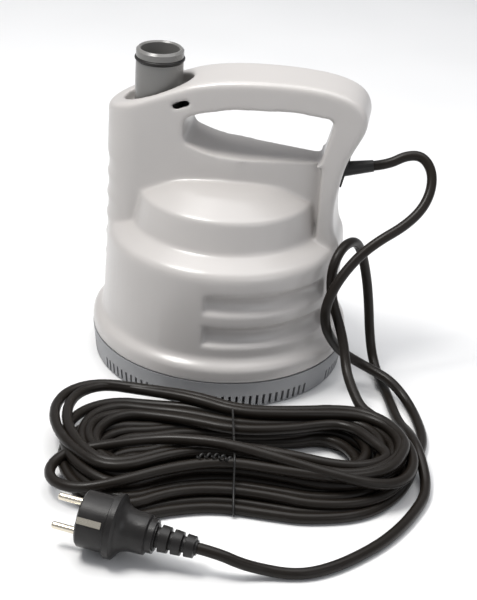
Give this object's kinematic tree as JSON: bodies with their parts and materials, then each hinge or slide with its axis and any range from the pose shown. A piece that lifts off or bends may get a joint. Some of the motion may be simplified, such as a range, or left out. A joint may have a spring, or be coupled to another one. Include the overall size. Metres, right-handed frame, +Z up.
{
  "type": "submersible pump",
  "caption": "Round submersible drain pump with a slotted strainer base, a fin with a hand grip, an upright outlet tube and a wound mains lead with an earthed plug.",
  "frame": {"origin": "centre of the round base, on the floor", "axes": "+Z up, front is -Y, outlet towards -X, lead towards +X"},
  "size_m": [0.2783, 0.4105, 0.243],
  "materials": {
    "housing_plastic": "glossy moulded, pale warm grey",
    "base_plastic": "satin, blue-grey",
    "tube_plastic": "satin grey",
    "dark_plastic": "black",
    "light_plastic": "off-white",
    "impeller_plastic": "black glass-filled",
    "rubber": "black",
    "lead_rubber": "satin black",
    "steel": "stainless",
    "laminations": "stacked laminations",
    "copper": "enamelled copper wire",
    "brass": "machined",
    "pin_metal": "nickel-plated brass",
    "aluminium": "die cast"
  },
  "bodies": {
    "pump": {"strainer_base": "base_plastic", "base_screws": "steel", "foot_screws": "steel", "housing": "housing_plastic", "suction_cover": "base_plastic", "volute": "base_plastic", "cover_gasket": "rubber", "cover_screws": "steel", "motor_screws": "steel", "stator_core": "laminations", "windings": "copper", "motor_plate": "aluminium", "can_seal": "rubber", "shaft_seal": "rubber", "lower_bearing": "steel", "upper_bearing": "steel", "upper_bracket": "aluminium", "motor_can": "aluminium", "run_capacitor": "light_plastic", "terminal_block": "light_plastic", "thermal_cutout": "dark_plastic", "outlet_tube": "tube_plastic", "outlet_ring": "rubber", "riser_seal": "rubber", "cord_gland": "dark_plastic", "can_grommet": "rubber", "inner_lead": "lead_rubber", "lead_cores": "light_plastic", "cord_lead": "lead_rubber", "cord_loop": "lead_rubber", "cord_hank": "lead_rubber", "hank_tie": "dark_plastic", "plug_body": "rubber", "plug_pins": "pin_metal", "earth_contacts": "pin_metal", "plug_boot": "rubber"},
    "rotor": {"shaft": "steel", "impeller": "impeller_plastic", "impeller_nut": "brass", "rotor_core": "laminations"}
  },
  "joints": [
    {"name": "rotor_spin", "type": "hinge", "parent": "pump", "child": "rotor", "pos_m": [0.013, 0, 0.06], "axis": [0, 0, 1], "continuous": true}
  ]
}
